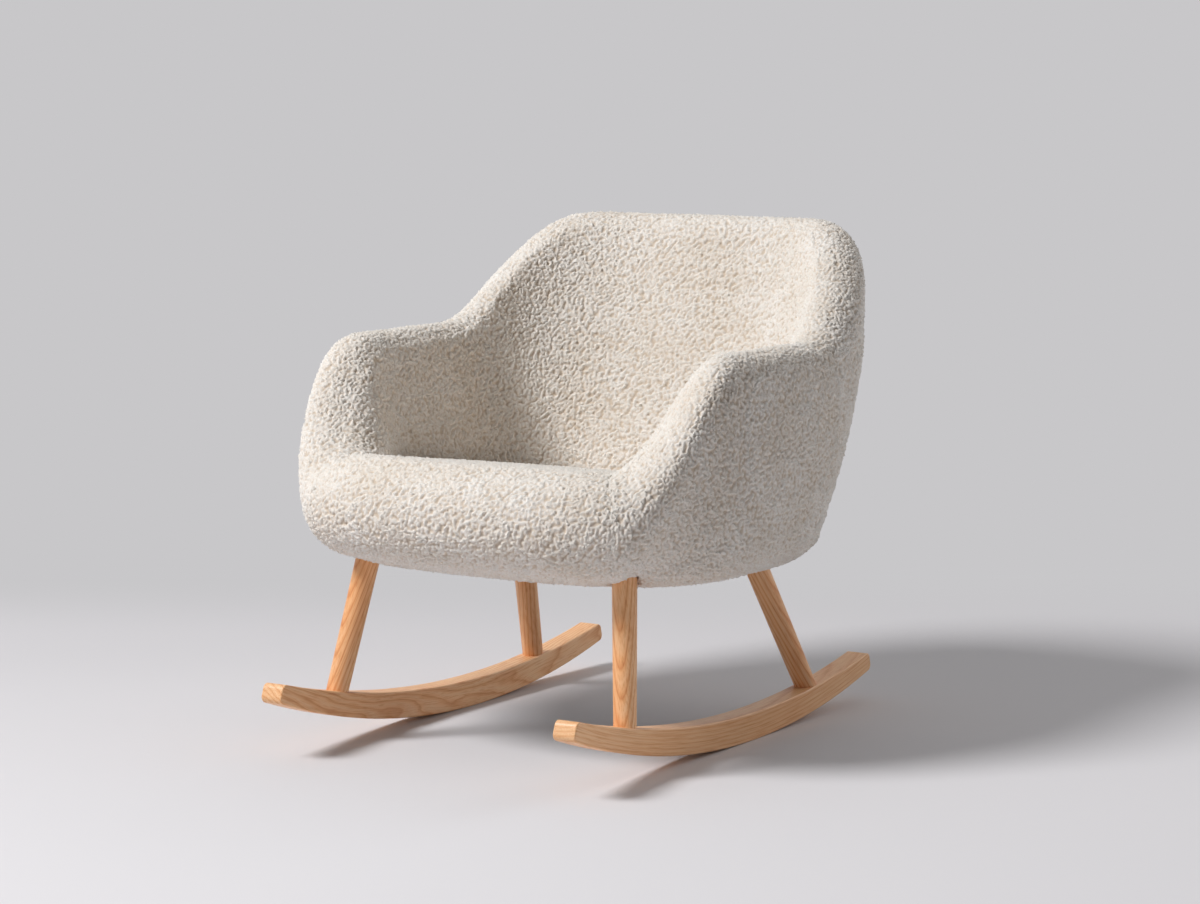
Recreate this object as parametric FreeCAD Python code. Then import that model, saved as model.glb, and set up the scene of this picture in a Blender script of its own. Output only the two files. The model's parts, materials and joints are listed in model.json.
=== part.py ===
import FreeCAD, Part
import math
import os

vec = FreeCAD.Vector
full_turn = 360.0
half_turn = 180.0

# Upholstered tub chair on two wooden rockers. Millimetres; the floor is z = 0, the chair faces -Y,
# +X is the sitter's left, and the origin lies on the floor under the middle of the whole chair.

# Rockers
rocker_spacing = 486.0       # between the middle planes of the two rockers
rocker_front_y = -427.0      # lower corner of the front tip
rocker_rear_y = 427.0        # lower corner of the rear tip
rocker_width = 36.0
rocker_depth = 41.0          # height in the middle
rocker_radius = 1453.0       # curved underside
rocker_touch_y = 62.0        # where the underside touches the floor, under the centre of mass
rocker_top_radius = 1804.0   # flatter upper edge, which thins the tips
rocker_top_shift = 18.0      # the upper edge is lowest this far behind the touching point
rocker_tip_round = 9.0
rocker_edge_round = 2.5

# Turned legs: each leans in towards the middle, from the rocker up to its plate
front_leg_y = -269.0         # where the leg's axis meets the rocker's upper edge
front_plate_x = 212.2        # middle of a front leg's plate, to either side
front_plate_y = -220.2
rear_leg_y = 247.0
rear_plate_x = 193.6
rear_plate_y = 133.5
leg_top_diameter = 35.5
leg_foot_diameter = 32.0
tenon_diameter = 20.0        # round tenon glued into the rocker
tenon_length = 24.0
tenon_clearance = 0.1
scribe_depth = 9.0           # wood left below the foot, cut to the rocker's curve
leg_hole_gap = 0.5           # round a leg where it passes into the base and the cover

# Leg plates and their bolts and screws
plate_diameter = 46.0
plate_thickness = 3.0
boss_diameter = 18.0
boss_drop = 12.0             # from the plate's underside to the middle of the leg's top
plate_pocket_gap = 1.0       # round a plate and its boss
bolt_diameter = 8.0
bolt_in_leg = 40.0
bolt_above_plate = 13.0
bolt_clearance = 0.1
bolt_end_gap = 0.8
plate_screw_count = 4
plate_screw_circle = 34.0
screw_diameter = 4.0
screw_head_diameter = 8.0
screw_head_height = 2.2
screw_clearance = 0.1
plate_screw_length = 18.0

# Base: a timber ring with a plywood deck on it
base_thickness = 38.0        # timber ring, which the cover is stapled to
base_inset = 2.0
base_width = 85.0
deck_thickness = 18.0        # plywood, which carries the legs, the frame and the webbing
deck_inset = 13.0            # the plywood's edge lies this far inside the outside of the cover
opening_half_width = 180.0   # hole in the plywood, under the webbing
opening_front = 160.0
opening_back = 145.0
opening_square = 4.0
outline_points = 36          # points that a plan outline passes through

# Front rail
rail_length = 300.0
rail_height = 46.0
rail_thickness = 18.0
rail_round = 20.0
rail_setback = 12.0          # from the front edge of the plywood

# Steel tube frame inside the back and arms
tube_diameter = 18.0
tube_wall = 1.5
weld_gap = 0.6               # between the end of a post and the hoop that it is welded to
tube_from_lining = 38.0      # from the lining's foot to the foot of a tube
hoop_foot_turn = 124.0       # all turns are in degrees from the middle of the back
hoop_arm_turn = 116.0
hoop_back_turn = 8.0
hoop_bends = 9               # bends from one arm's front to the middle of the back
hoop_bend_share = 0.45       # of the shorter run that each bend takes up
back_post_turn = 27.0
side_post_turn = 88.0
flange_diameter = 48.0
flange_thickness = 4.0
flange_screw_circle = 34.0
flange_screw_length = 16.0

# Elastic webbing and the felt over it
strap_width = 50.0
strap_thickness = 2.0
strap_gap = 0.3
strap_pitch = 72.0
strap_count = 4
strap_overlap = 20.0         # of each end on the plywood
felt_thickness = 3.0
felt_margin = 12.0           # the felt reaches this far past the hole in the plywood

# Upholstery: heights
back_height = 740.0
arm_height = 579.0
seat_height = 421.0          # crown of the front roll
seat_build = 166.0           # from the underside up to that crown

# Upholstery: where around the chair the rim changes
shoulder_turn = 30.0
arm_rear_turn = 70.5
arm_front_turn = 111.5
seam_turn = 141.0            # seam between an arm and the front border
foam_joint_turn = 50.0       # glued joint between the foam of the back and of an arm

# Upholstery: plan lines as half width, reach to the back, reach to the front and squareness
rim_half_width = 314.0
rim_back = 379.0
rim_front = 283.0
rim_square = 3.4
foot_half_width = 279.0
foot_back = 213.0
foot_front = 225.0
foot_square = 3.2
lining_half_width = 236.0
lining_back = 200.0
lining_front = 190.0
lining_square = 3.4

# Upholstery: radii and layers
rim_radius = 42.0
front_roll_radius = 74.0
underside_round = 66.0
wall_radius = 652.0
cover_thickness = 7.0        # curly pile and its backing
cover_seam_angle = 55.0      # seam between inside and outside cover, up the rim from its widest point
cover_seam_gap = 1.0
soft_gap = 0.7               # foam stays this far from covers and tubes
edge_gap = 1.0               # and from the edges of the timber ring and the plywood
lip_width = 30.0             # cover turned under the base
back_sections = 4            # cuts through each stretch of the rim that the form is drawn over
shoulder_sections = 7
arm_sections = 5
arm_front_sections = 7
front_sections = 13

# Seat pad
seat_slope = 8.0             # degrees down to the back
seat_crown = 2.0
seat_border_y = -130.0       # the front border reaches back to here
seat_gap = 1.2               # to the lining
seat_arcs = 16               # arcs in each level line
pad_bottom_draw = 9.0        # sides drawn in at the bottom
pad_wide_drop = 18.0         # widest this far below the top
pad_edge_draw = 2.0          # sides drawn in at the foot of the rounded edge
pad_edge_round = 14.0
pad_edge_levels = 5          # level lines over the rounded edge
pad_top_draw = 95.0          # flat from here inwards

# Dust cover
dust_thickness = 1.2
dust_inset = 12.0

# Heights that follow
underside_z = seat_height - seat_build
base_z = underside_z + cover_thickness
ply_z = base_z + base_thickness
deck_z = ply_z + deck_thickness
strap_step = strap_thickness + strap_gap
felt_z = deck_z + strap_thickness + strap_step
pad_z = felt_z + felt_thickness
plate_z = ply_z - plate_thickness
slope = math.tan(math.radians(seat_slope))
foam_inset = cover_thickness + soft_gap
cover_seam = math.radians(cover_seam_angle)
brow = math.pi / 2.0 + math.radians(seat_slope)


def smooth(value, start, end):
    share = min(max((value - start) / (end - start), 0.0), 1.0)
    return share * share * (3.0 - 2.0 * share)


def spread(start, end, count):
    return [start + (end - start) * step / (count - 1) for step in range(count)]


def place(turn, radius, height):
    angle = math.radians(turn)
    return vec(radius * math.sin(angle), radius * math.cos(angle), height)


def plan_radius(turn, half_width, back, front, square):
    across = abs(math.sin(math.radians(turn))) / half_width
    along = math.cos(math.radians(turn))
    reach = back if along > 0 else front
    return (across ** square + abs(along / reach) ** square) ** (-1.0 / square)


def foot_radius(turn):
    return plan_radius(turn, foot_half_width, foot_back, foot_front, foot_square)


def opening_radius(turn, margin=0.0):
    reach = opening_half_width + margin, opening_back + margin, opening_front + margin
    return plan_radius(turn, *reach, opening_square)


def line(first, second):
    return Part.LineSegment(first, second).toShape()


def arc(first, middle, second):
    return Part.Arc(first, middle, second).toShape()


def start_of(edge):
    return edge.valueAt(edge.FirstParameter)


def end_of(edge):
    return edge.valueAt(edge.LastParameter)


def chain(edges):
    # Joins edges that follow each other round, with a straight run wherever one ends away from the next.
    joined = []
    for edge, following in zip(edges, edges[1:] + edges[:1]):
        joined.append(edge)
        if end_of(edge).distanceToPoint(start_of(following)) > 1e-6:
            joined.append(line(end_of(edge), start_of(following)))
    return Part.Wire(joined)


def backwards(edges):
    turned = []
    for edge in reversed(edges):
        if edge.Curve.TypeId == "Part::GeomLine":
            turned.append(line(end_of(edge), start_of(edge)))
        else:
            middle = edge.valueAt((edge.FirstParameter + edge.LastParameter) / 2.0)
            turned.append(arc(end_of(edge), middle, start_of(edge)))
    return turned


def main_solid(shape):
    return max(shape.Solids, key=lambda solid: solid.Volume)


def loft(wires):
    return Part.makeLoft(wires, True, False)


def plan_plate(radius_at, low, thickness):
    # Flat plate with a smooth closed outline.
    turns = [full_turn * number / outline_points for number in range(outline_points)]
    curve = Part.BSplineCurve()
    curve.interpolate([place(turn, radius_at(turn), low) for turn in turns], PeriodicFlag=True)
    return Part.Face(Part.Wire(curve.toShape())).extrude(vec(0, 0, thickness))


class Section:
    # Upright cut through the upholstery at one turn round the chair, in radius and height. Its outside is
    # three arcs that run into each other: the round under the base, the wall and the rim. Its inside is a
    # straight line down from the rim to the lining's foot on the plywood.
    def __init__(self, turn):
        self.turn = turn
        away = abs((turn + half_turn) % full_turn - half_turn)
        front = smooth(away, arm_front_turn, seam_turn)
        shoulder = smooth(away, shoulder_turn, arm_rear_turn)
        crest = back_height - (back_height - arm_height) * shoulder - (arm_height - seat_height) * front
        self.rim_r = rim_radius + (front_roll_radius - rim_radius) * front
        rim = plan_radius(turn, rim_half_width, rim_back, rim_front, rim_square)
        self.rim = (rim, crest - self.rim_r)
        self.foot = (foot_radius(turn), underside_z + underside_round)
        self.wall = self.wall_centre()
        self.low = math.atan2(self.foot[1] - self.wall[1], self.foot[0] - self.wall[0])
        self.high = math.atan2(self.rim[1] - self.wall[1], self.rim[0] - self.wall[0])
        base = plan_radius(turn, lining_half_width, lining_back, lining_front, lining_square)
        run, rise = self.rim[0] - base, self.rim[1] - deck_z
        self.lean = math.atan2(rise, run) + math.asin(self.rim_r / math.hypot(run, rise))

    def wall_centre(self):
        run, rise = self.rim[0] - self.foot[0], self.rim[1] - self.foot[1]
        span = math.hypot(run, rise)
        to_foot, to_rim = wall_radius - underside_round, wall_radius - self.rim_r
        along = (to_foot ** 2 - to_rim ** 2 + span ** 2) / (2.0 * span)
        aside = math.sqrt(to_foot ** 2 - along ** 2)
        radius = self.foot[0] + (run * along - rise * aside) / span
        return (radius, self.foot[1] + (rise * along + run * aside) / span)

    def at(self, radius, height):
        return place(self.turn, radius, height)

    def at_depth(self, y, height):
        return place(self.turn, y / math.cos(math.radians(self.turn)), height)

    def on(self, centre, radius, angle):
        return self.at(centre[0] + radius * math.cos(angle), centre[1] + radius * math.sin(angle))

    def arc(self, centre, radius, start, end):
        middle = self.on(centre, radius, (start + end) / 2.0)
        return arc(self.on(centre, radius, start), middle, self.on(centre, radius, end))

    def under(self, inset, inner):
        height = underside_z + inset
        return line(self.at(inner, height), self.at(self.foot[0], height))

    def outside(self, inset, rim_angle):
        return [
            self.arc(self.foot, underside_round - inset, -math.pi / 2.0, self.low),
            self.arc(self.wall, wall_radius - inset, self.low, self.high),
            self.arc(self.rim, self.rim_r - inset, self.high, rim_angle),
        ]

    def over_rim(self, inset, rim_angle):
        radius = self.rim_r - inset
        return [
            self.arc(self.rim, radius, rim_angle, math.pi / 2.0),
            self.arc(self.rim, radius, math.pi / 2.0, self.lean + math.pi / 2.0),
        ]

    def lining_radius(self, height, inset=0.0):
        side = self.lean + math.pi / 2.0
        radius = self.rim[0] + (self.rim_r - inset) * math.cos(side)
        top = self.rim[1] + (self.rim_r - inset) * math.sin(side)
        return radius - (top - height) / math.tan(self.lean)

    def lining(self, inset):
        side = self.lean + math.pi / 2.0
        foot = self.at(self.lining_radius(deck_z, inset), deck_z)
        return line(self.on(self.rim, self.rim_r - inset, side), foot)

    def seat_line(self, inset):
        # From the top of the front roll back over the seat.
        return line(self.on(self.rim, self.rim_r - inset, brow), self.border_point(inset))

    def border_point(self, inset):
        return self.at_depth(seat_border_y, seat_top(seat_border_y) - inset)

    def lip(self):
        return self.foot[0] - lip_width

    def base_edge(self):
        return self.foot[0] - base_inset

    def deck_edge(self):
        rise = min(ply_z - self.foot[1], 0.0)
        return self.foot[0] + math.sqrt(underside_round ** 2 - rise ** 2) - deck_inset

    def round_base(self):
        # Inner edge of the foam, down past the plywood and the timber ring.
        deck, base = self.deck_edge() + edge_gap, self.base_edge() + edge_gap
        return [
            line(self.at(deck, deck_z), self.at(deck, ply_z)),
            line(self.at(base, ply_z), self.at(base, underside_z + foam_inset)),
        ]


def seat_top(y):
    return seat_height + seat_crown - slope * (y + rim_front)


def tub_turns():
    # Cuts are closest where the rim falls from the back to the arms and from the arms to the front.
    half = spread(0.0, shoulder_turn, back_sections)
    half += spread(shoulder_turn, arm_rear_turn, shoulder_sections)[1:]
    half += spread(arm_rear_turn, arm_front_turn, arm_sections)[1:]
    half += spread(arm_front_turn, seam_turn, arm_front_sections)[1:]
    return [-turn for turn in reversed(half[1:])] + half


def front_turns():
    return spread(seam_turn, full_turn - seam_turn, front_sections)


def tub_foam_section(turn):
    section = Section(turn)
    return chain(
        [section.under(foam_inset, section.base_edge() + edge_gap)]
        + section.outside(foam_inset, cover_seam)
        + section.over_rim(foam_inset, cover_seam)
        + [section.lining(foam_inset)]
        + section.round_base()
    )


def outside_cover_section(turn):
    section = Section(turn)
    end = cover_seam - cover_seam_gap / section.rim_r
    face = [section.under(0.0, section.lip())] + section.outside(0.0, end)
    back = [section.under(cover_thickness, section.lip())] + section.outside(cover_thickness, end)
    return chain(face + backwards(back))


def inside_cover_section(turn):
    section = Section(turn)
    face = section.over_rim(0.0, cover_seam) + [section.lining(0.0)]
    back = section.over_rim(cover_thickness, cover_seam) + [section.lining(cover_thickness)]
    return chain(face + backwards(back))


def front_foam_section(turn):
    section = Section(turn)
    strap_end = -opening_front - strap_overlap - soft_gap
    return chain(
        [section.under(foam_inset, section.base_edge() + edge_gap)]
        + section.outside(foam_inset, brow)
        + [section.seat_line(foam_inset)]
        + [line(section.border_point(foam_inset), section.at_depth(seat_border_y, pad_z))]
        + [line(section.at_depth(strap_end, pad_z), section.at_depth(strap_end, deck_z))]
        + section.round_base()
    )


def front_cover_section(turn):
    section = Section(turn)
    face, back = [
        [section.under(inset, section.lip())] + section.outside(inset, brow) + [section.seat_line(inset)]
        for inset in (0.0, cover_thickness)
    ]
    return chain(face + backwards(back))


def ring_of_arcs(point):
    step = full_turn / seat_arcs
    starts = [number * step for number in range(seat_arcs)]
    return Part.Wire([arc(point(start), point(start + step / 2.0), point(start + step)) for start in starts])


def pad_level(drop, draw):
    # One level line of the seat pad, in a plane that slopes with the seat, drawn in from the lining.
    def point(turn):
        section = Section(turn)
        fall = slope * math.cos(math.radians(turn))
        level = seat_height - drop - slope * rim_front
        widening = 1.0 / math.tan(section.lean)
        radius = (section.lining_radius(level) - seat_gap - draw) / (1.0 + widening * fall)
        return place(turn, radius, level - fall * radius)
    return ring_of_arcs(point)


def pad_bottom(height, draw):
    def point(turn):
        return place(turn, Section(turn).lining_radius(height) - seat_gap - draw, height)
    return ring_of_arcs(point)


def seat_pad(inset, bottom_z):
    levels = [
        pad_bottom(bottom_z, pad_bottom_draw + inset),
        pad_level(pad_wide_drop + inset, inset),
    ]
    for angle in spread(0.0, math.pi / 2.0, pad_edge_levels):
        drop = pad_edge_round * (1.0 - math.sin(angle))
        draw = pad_edge_draw + pad_edge_round * (1.0 - math.cos(angle))
        levels.append(pad_level(drop + inset, draw + inset))
    levels.append(pad_level(inset - seat_crown, pad_top_draw + inset))
    return Part.makeLoft(levels, True, True)


def front_wedge():
    # Room of the front border, between its two seams and in front of its rear edge.
    far = rim_half_width + rim_front
    near = seat_border_y / math.cos(math.radians(seam_turn))
    left = [place(seam_turn, near, 0), place(seam_turn, far, 0)]
    right = [place(-seam_turn, far, 0), place(-seam_turn, near, 0)]
    return Part.Face(Part.makePolygon(left + right + left[:1])).extrude(vec(0, 0, back_height))


def back_wedge():
    # Room of the back's foam, between its two joints with the arms.
    far = 2.0 * (rim_half_width + rim_back)
    corners = [vec(0, 0, 0), place(foam_joint_turn, far, 0), place(-foam_joint_turn, far, 0)]
    return Part.Face(Part.makePolygon(corners + corners[:1])).extrude(vec(0, 0, back_height))


def rocker_top_middle():
    return vec(0, rocker_touch_y + rocker_top_shift, rocker_depth)


def rocker_height(y):
    # Upper edge of a rocker
    middle = rocker_top_middle()
    return middle.z + rocker_top_radius - math.sqrt(rocker_top_radius ** 2 - (y - middle.y) ** 2)


def rocker_tip(y):
    # Lower and upper corner of a tip, which is cut square to the underside.
    low = vec(0, y, rocker_radius - math.sqrt(rocker_radius ** 2 - (y - rocker_touch_y) ** 2))
    inward = vec(0, rocker_touch_y - y, rocker_radius - low.z).normalize()
    to_centre = rocker_top_middle() + vec(0, 0, rocker_top_radius) - low
    along = inward.dot(to_centre)
    reach = along - math.sqrt(along ** 2 - to_centre.dot(to_centre) + rocker_top_radius ** 2)
    return low, low + inward * reach


def rocker_blank(side):
    front_low, front_high = rocker_tip(rocker_front_y)
    rear_low, rear_high = rocker_tip(rocker_rear_y)
    outline = Part.Wire([
        arc(front_low, vec(0, rocker_touch_y, 0), rear_low),
        line(rear_low, rear_high),
        arc(rear_high, rocker_top_middle(), front_high),
        line(front_high, front_low),
    ])
    blank = Part.Face(outline).extrude(vec(rocker_width, 0, 0))
    blank.translate(vec(side * rocker_spacing / 2.0 - rocker_width / 2.0, 0, 0))
    tips = [e for e in blank.Edges if e.Curve.TypeId == "Part::GeomLine" and abs(e.tangentAt(0).x) > 0.9]
    blank = blank.makeFillet(rocker_tip_round, tips)
    sides = [face for face in blank.Faces if abs(face.normalAt(0, 0).x) > 0.99]
    return blank.makeFillet(rocker_edge_round, [edge for face in sides for edge in face.Edges])


class Leg:
    # A leg's axis, from its foot on the rocker up to the plate under the plywood.
    def __init__(self, side, foot_y, plate_x, plate_y):
        self.foot = vec(side * rocker_spacing / 2.0, foot_y, rocker_height(foot_y))
        self.plate_middle = vec(side * plate_x, plate_y, plate_z)
        self.axis = (self.plate_middle - self.foot).normalize()
        self.top = self.at(plate_z - boss_drop)

    def at(self, height):
        return self.foot + self.axis * ((height - self.foot.z) / self.axis.z)

    def rod(self, diameter, start, end):
        return Part.makeCylinder(diameter / 2.0, start.distanceToPoint(end), start, self.axis)

    def body(self, grow=0.0):
        start = self.foot - self.axis * scribe_depth
        low, high = leg_foot_diameter / 2.0 + grow, leg_top_diameter / 2.0 + grow
        return Part.makeCone(low, high, start.distanceToPoint(self.top), start, self.axis)

    def mortise(self):
        end = self.foot - self.axis * (tenon_length + tenon_clearance)
        return self.rod(tenon_diameter + 2.0 * tenon_clearance, end, self.foot + self.axis * scribe_depth)

    def bolt(self, clearance=0.0, end_gap=0.0):
        start = self.top - self.axis * (bolt_in_leg + end_gap)
        end = self.at(ply_z) + self.axis * (bolt_above_plate + end_gap)
        return self.rod(bolt_diameter + 2.0 * clearance, start, end)

    def bolt_hole(self):
        return self.bolt(bolt_clearance, bolt_end_gap)

    def solid(self, rocker):
        shaped = main_solid(self.body().cut(rocker))
        start, end = self.foot - self.axis * tenon_length, self.foot + self.axis * scribe_depth
        tenon = self.rod(tenon_diameter, start, end)
        return shaped.fuse(tenon).removeSplitter().cut(self.bolt_hole())

    def screw_points(self):
        step = 2.0 * math.pi / plate_screw_count
        reach = plate_screw_circle / 2.0
        angles = [step * (number + 0.5) for number in range(plate_screw_count)]
        return [self.plate_middle + vec(reach * math.cos(a), reach * math.sin(a), 0) for a in angles]

    def pocket(self):
        # Room in the base for the plate, its screws and its boss.
        depth = boss_drop + boss_diameter / 2.0
        radius = plate_diameter / 2.0 + plate_pocket_gap
        return Part.makeCylinder(radius, depth + plate_thickness, self.plate_middle - vec(0, 0, depth))

    def plate(self):
        disc = Part.makeCylinder(plate_diameter / 2.0, plate_thickness, self.plate_middle)
        boss = self.rod(boss_diameter, self.top, self.at(deck_z)).common(self.pocket())
        holes = [Part.makeCylinder(screw_diameter / 2.0 + screw_clearance, plate_thickness, point)
                 for point in self.screw_points()]
        return disc.fuse(boss).removeSplitter().cut([self.bolt_hole()] + holes)


def screw(seat, way, length):
    # Head on the seat, shank beyond it; way is up or down along Z.
    shank = Part.makeCylinder(screw_diameter / 2.0, length, seat, vec(0, 0, way))
    head = Part.makeCylinder(screw_head_diameter / 2.0, screw_head_height, seat, vec(0, 0, -way))
    return shank.fuse(head).removeSplitter()


def pilot_hole(seat, way, length):
    return Part.makeCylinder(screw_diameter / 2.0 + screw_clearance, length, seat, vec(0, 0, way))


def bent_path(points):
    # Straight runs joined by tangent arcs, each as large as its two runs allow.
    edges = []
    last = points[0]
    for before, corner, after in zip(points, points[1:], points[2:]):
        back = (before - corner).normalize()
        on = (after - corner).normalize()
        cut = hoop_bend_share * min((before - corner).Length, (after - corner).Length)
        start, end = corner + back * cut, corner + on * cut
        half = back.getAngle(on) / 2.0
        centre = corner + (back + on).normalize() * (cut / math.cos(half))
        middle = centre + (corner - centre).normalize() * (cut * math.tan(half))
        edges += [line(last, start), arc(start, middle, end)]
        last = end
    edges.append(line(last, points[-1]))
    return Part.Wire(edges)


def bar_along(path, diameter):
    first = path.Edges[0]
    way = first.tangentAt(first.FirstParameter)
    ring = Part.Wire(Part.makeCircle(diameter / 2.0, start_of(first), way))
    return path.makePipeShell([ring], True, False)


def straight_bar(start, end, diameter):
    return Part.makeCylinder(diameter / 2.0, start.distanceToPoint(end), start, end - start)


def tube_foot(turn):
    return place(turn, Section(turn).lining_radius(deck_z) + tube_from_lining, deck_z)


def rim_point(turn):
    return place(turn, *Section(turn).rim)


def hoop_path():
    turns = spread(hoop_arm_turn, hoop_back_turn, hoop_bends)
    half = [tube_foot(hoop_foot_turn)] + [rim_point(turn) for turn in turns]
    return bent_path(half + [vec(-point.x, point.y, point.z) for point in reversed(half)])


def flange(foot):
    return Part.makeCylinder(flange_diameter / 2.0, flange_thickness, foot)


def flange_screw_points(foot):
    way = vec(foot.x, foot.y, 0).normalize().cross(vec(0, 0, 1)) * (flange_screw_circle / 2.0)
    return [foot + way + vec(0, 0, flange_thickness), foot - way + vec(0, 0, flange_thickness)]


def flanged(tube, feet):
    # Welds flanges to the foot of a tube and drills them.
    for foot in feet:
        below = vec(0, 0, -tube_diameter)
        foot_room = Part.makeCylinder(flange_diameter / 2.0, tube_diameter + flange_thickness, foot + below)
        tube = tube.cut(foot_room).fuse(flange(foot))
    points = [point for foot in feet for point in flange_screw_points(foot)]
    holes = [pilot_hole(point, -1.0, flange_thickness) for point in points]
    return main_solid(tube.removeSplitter().cut(holes))


def strap(length, crossing_first, lengthwise, middle):
    # One webbing strap, woven over and under the straps that cross it.
    half = length / 2.0
    flat = strap_width / 2.0 + strap_gap
    profile = [(-half, 0.0)]
    for number, offset in enumerate(strap_offsets()):
        height = strap_step * ((number + crossing_first) % 2)
        profile += [(offset - flat, height), (offset + flat, height)]
    profile.append((half, 0.0))
    lower = [vec(along, -strap_width / 2.0, height) for along, height in profile]
    upper = [point + vec(0, 0, strap_thickness) for point in reversed(lower)]
    piece = Part.Face(Part.makePolygon(lower + upper + lower[:1])).extrude(vec(0, strap_width, 0))
    if lengthwise:
        piece.rotate(vec(0, 0, 0), vec(0, 0, 1), 90)
    piece.translate(middle)
    return piece


def strap_offsets():
    return [(number - (strap_count - 1) / 2.0) * strap_pitch for number in range(strap_count)]


def front_rail(grow=0.0):
    front = -Section(half_turn).deck_edge() + rail_setback
    corner = vec(-rail_length / 2.0 - grow, front - grow, deck_z)
    rail = Part.makeBox(rail_length + 2.0 * grow, rail_thickness + 2.0 * grow, rail_height + grow, corner)
    top = [edge for edge in rail.Edges if edge.BoundBox.ZMin > deck_z]
    ends = [edge for edge in top if edge.BoundBox.YLength > edge.BoundBox.XLength]
    return rail.makeFillet(rail_round + grow, ends)


def save(name, shape):
    solids = shape if isinstance(shape, list) else shape.Solids
    whole = Part.makeCompound(solids) if len(solids) > 1 else solids[0]
    faulty = any(not solid.isValid() or solid.Volume <= 0 for solid in solids)
    print(f"{name}: {len(solids)} solid(s), {whole.Volume / 1000.0:.1f} cm3{', faulty' if faulty else ''}")
    whole.exportStep(f"parts/{name}.step")


os.makedirs("parts", exist_ok=True)
sides = {"left": 1, "right": -1}

# Legs and rockers
legs = {}
for word, side in sides.items():
    legs["front_leg_" + word] = Leg(side, front_leg_y, front_plate_x, front_plate_y)
    legs["rear_leg_" + word] = Leg(side, rear_leg_y, rear_plate_x, rear_plate_y)
for word, side in sides.items():
    rocker = rocker_blank(side)
    pair = {name: leg for name, leg in legs.items() if name.endswith(word)}
    for name, leg in pair.items():
        save(name, leg.solid(rocker))
    save("rocker_" + word, rocker.cut([leg.mortise() for leg in pair.values()]))

# Leg plates, bolts and screws
for name, leg in legs.items():
    save(name.replace("leg", "leg_plate"), leg.plate())
plate_points = [point for leg in legs.values() for point in leg.screw_points()]
save("hanger_bolts", [leg.bolt() for leg in legs.values()])
save("leg_plate_screws", [screw(point, 1.0, plate_screw_length) for point in plate_points])

# Timber ring and plywood deck
flange_feet = {
    "rim_hoop": [tube_foot(hoop_foot_turn), tube_foot(-hoop_foot_turn)],
    "back_post_left": [tube_foot(back_post_turn)],
    "back_post_right": [tube_foot(-back_post_turn)],
    "side_post_left": [tube_foot(side_post_turn)],
    "side_post_right": [tube_foot(-side_post_turn)],
}
all_feet = [foot for feet in flange_feet.values() for foot in feet]
flange_points = [point for foot in all_feet for point in flange_screw_points(foot)]
deck = plan_plate(lambda turn: Section(turn).deck_edge(), ply_z, deck_thickness)
deck = deck.cut(plan_plate(opening_radius, ply_z, deck_thickness))
deck = deck.cut(
    [pilot_hole(point, 1.0, plate_screw_length) for point in plate_points]
    + [pilot_hole(point, -1.0, flange_screw_length) for point in flange_points]
    + [leg.bolt_hole() for leg in legs.values()]
)
save("plywood_deck", main_solid(deck))
leg_holes = [leg.body(leg_hole_gap) for leg in legs.values()]
leg_rooms = leg_holes + [leg.pocket() for leg in legs.values()]
base_ring = plan_plate(lambda turn: Section(turn).base_edge(), base_z, base_thickness)
base_ring = base_ring.cut(plan_plate(lambda turn: foot_radius(turn) - base_width, base_z, base_thickness))
save("base_ring", main_solid(base_ring.cut(leg_rooms)))
save("front_rail", front_rail())

# Steel frame
path = hoop_path()
tube_bore = tube_diameter - 2.0 * tube_wall
tube_room = tube_diameter + 2.0 * soft_gap
hoop = bar_along(path, tube_diameter).cut(bar_along(path, tube_bore))
save("rim_hoop", flanged(hoop, flange_feet["rim_hoop"]))
frame_rooms = [bar_along(path, tube_room)]
for name, turn in {"back_post": back_post_turn, "side_post": side_post_turn}.items():
    for word, side in sides.items():
        foot = tube_foot(side * turn)
        top = path.distToShape(Part.Vertex(rim_point(side * turn)))[1][0][0]
        end = top + (foot - top).normalize() * (tube_diameter / 2.0 + weld_gap)
        post = straight_bar(foot, end, tube_diameter).cut(straight_bar(foot, end, tube_bore))
        save(f"{name}_{word}", flanged(post, [foot]))
        frame_rooms.append(straight_bar(foot, end, tube_room))
save("flange_screws", [screw(point, -1.0, flange_screw_length) for point in flange_points])

# Webbing and felt
opening_middle = vec(0, (opening_back - opening_front) / 2.0, deck_z)
long_length = opening_front + opening_back + 2.0 * strap_overlap
cross_length = 2.0 * (opening_half_width + strap_overlap)
save("webbing_lengthwise", [strap(long_length, number, True, opening_middle + vec(offset, 0, 0))
                            for number, offset in enumerate(strap_offsets())])
save("webbing_crosswise", [strap(cross_length, number + 1, False, opening_middle + vec(0, offset, 0))
                           for number, offset in enumerate(strap_offsets())])
save("seat_felt", plan_plate(lambda turn: opening_radius(turn, felt_margin), felt_z, felt_thickness))

# Foam
head_room = flange_thickness + screw_head_height + soft_gap
frame_rooms += [Part.makeCylinder(flange_diameter / 2.0 + soft_gap, head_room, foot) for foot in all_feet]
tub_foam = loft([tub_foam_section(turn) for turn in tub_turns()])
tub_foam = main_solid(tub_foam.cut(frame_rooms + leg_rooms))
back_room = back_wedge()
save("back_foam", main_solid(tub_foam.common(back_room)))
arm_foams = tub_foam.cut(back_room).Solids
for word, side in sides.items():
    save("arm_foam_" + word, max(arm_foams, key=lambda solid: side * solid.CenterOfMass.x))
front_foam = loft([front_foam_section(turn) for turn in front_turns()])
save("front_border_foam", main_solid(front_foam.cut(leg_rooms + [front_rail(soft_gap)])))
border_room = front_wedge()
save("seat_foam", main_solid(seat_pad(foam_inset, pad_z).cut(border_room)))

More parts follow.
